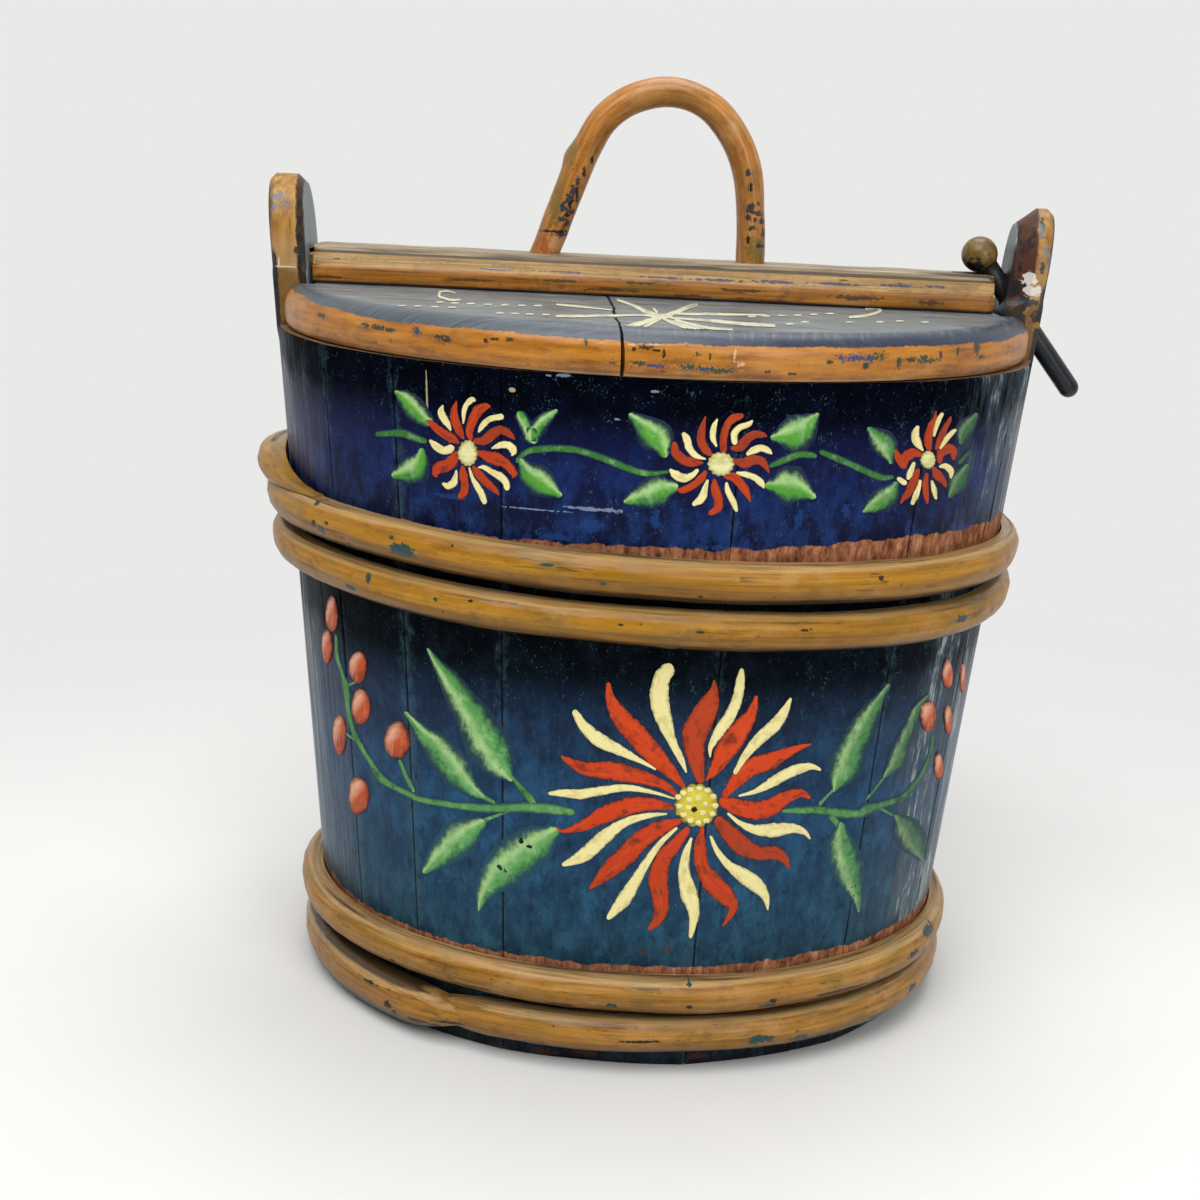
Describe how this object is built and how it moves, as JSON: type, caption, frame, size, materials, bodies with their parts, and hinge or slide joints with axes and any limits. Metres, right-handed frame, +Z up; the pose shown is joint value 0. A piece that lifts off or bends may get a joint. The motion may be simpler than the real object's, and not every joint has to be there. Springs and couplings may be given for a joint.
{
  "type": "staved box",
  "caption": "Oval coopered box with two ear staves, split wooden hoops, a lid with a bow handle that tilts open, and a slanting wooden lock peg.",
  "frame": {"origin": "centre of the overall bounding box, on the surface that the box stands on", "axes": "+Z up, +X along the oval's long axis towards the ear with the lock peg, -Y towards the painted front"},
  "size_m": [0.3806, 0.2908, 0.4287],
  "materials": {
    "ear_paint": "worn ochre oil paint over dark blue on wood",
    "blue_paint": "worn dark blue oil paint on wood",
    "bare_wood": "bare aged softwood",
    "ochre_paint": "worn ochre oil paint on wood",
    "lid_paint": "worn grey-blue oil paint with an ochre rim",
    "peg_paint": "worn blue-black oil paint with an ochre knob"
  },
  "bodies": {
    "tub": {"ear_stave_left": "ear_paint", "ear_stave_right": "ear_paint", "front_stave_1": "blue_paint", "front_stave_2": "blue_paint", "front_stave_3": "blue_paint", "front_stave_4": "blue_paint", "front_stave_5": "blue_paint", "front_stave_6": "blue_paint", "front_stave_7": "blue_paint", "back_stave_1": "blue_paint", "back_stave_2": "blue_paint", "back_stave_3": "blue_paint", "back_stave_4": "blue_paint", "back_stave_5": "blue_paint", "back_stave_6": "blue_paint", "back_stave_7": "blue_paint", "bottom_board": "bare_wood", "upper_hoop_top": "ochre_paint", "upper_hoop_bottom": "ochre_paint", "lower_hoop_top": "ochre_paint", "lower_hoop_bottom": "ochre_paint"},
    "lid": {"lid_board_left": "lid_paint", "lid_board_right": "lid_paint", "lid_batten": "ochre_paint", "batten_peg_1": "bare_wood", "batten_peg_2": "bare_wood", "batten_peg_3": "bare_wood", "batten_peg_4": "bare_wood", "carry_handle": "ochre_paint", "handle_pin_left": "bare_wood", "handle_pin_right": "bare_wood"},
    "lock_peg": {"lock_peg": "peg_paint"}
  },
  "joints": [
    {"name": "lid_tilt", "type": "hinge", "parent": "tub", "child": "lid", "pos_m": [-0.17487, 0, 0.3401], "axis": [0, -1, 0], "range_deg": [0, 13]},
    {"name": "peg_slide", "type": "slide", "parent": "tub", "child": "lock_peg", "axis": [-0.6293, 0, 0.7771], "range_m": [0, 0.46]}
  ],
  "couplings": [
    {"joint": "peg_slide", "follows": "lid_tilt", "m_per_rad": 2}
  ]
}
